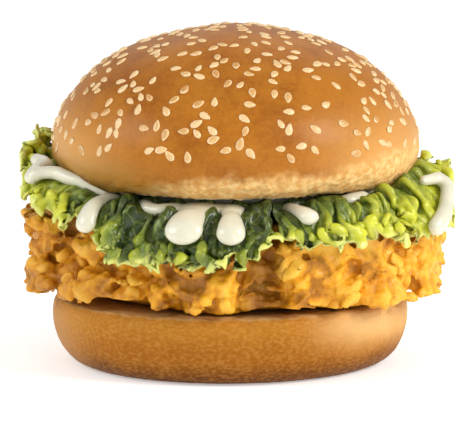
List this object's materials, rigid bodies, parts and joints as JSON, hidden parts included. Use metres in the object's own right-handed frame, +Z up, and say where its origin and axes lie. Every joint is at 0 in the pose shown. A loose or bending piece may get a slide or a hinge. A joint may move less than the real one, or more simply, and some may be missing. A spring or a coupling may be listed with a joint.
{
  "type": "chicken burger",
  "caption": "Fried chicken fillet burger in a seeded bun, with curly lettuce and dripping mayonnaise; stands on its flat bun heel.",
  "frame": {"origin": "on the table, under the middle of the burger's bounding box", "axes": "+Z up from the table; -Y is the front that the picture shows; +X is to the right in that view"},
  "size_m": [0.1296, 0.1227, 0.0999],
  "materials": {
    "bun_crust": "baked, softly glazed golden brown",
    "fried_coating": "craggy golden orange, lightly oiled",
    "lettuce": "fresh, thin, slightly waxy",
    "mayonnaise": "thick, smooth and wet",
    "sesame_seed": "lightly toasted, satin"
  },
  "bodies": {
    "root": {"bun_heel": "bun_crust", "chicken_fillet": "fried_coating", "lettuce_leaf_left": "lettuce", "lettuce_leaf_front": "lettuce", "lettuce_leaf_right": "lettuce", "lettuce_leaf_back": "lettuce", "mayonnaise": "mayonnaise", "mayonnaise_curl_left": "mayonnaise", "mayonnaise_curl_right": "mayonnaise", "bun_crown": "bun_crust"}
  },
  "joints": []
}
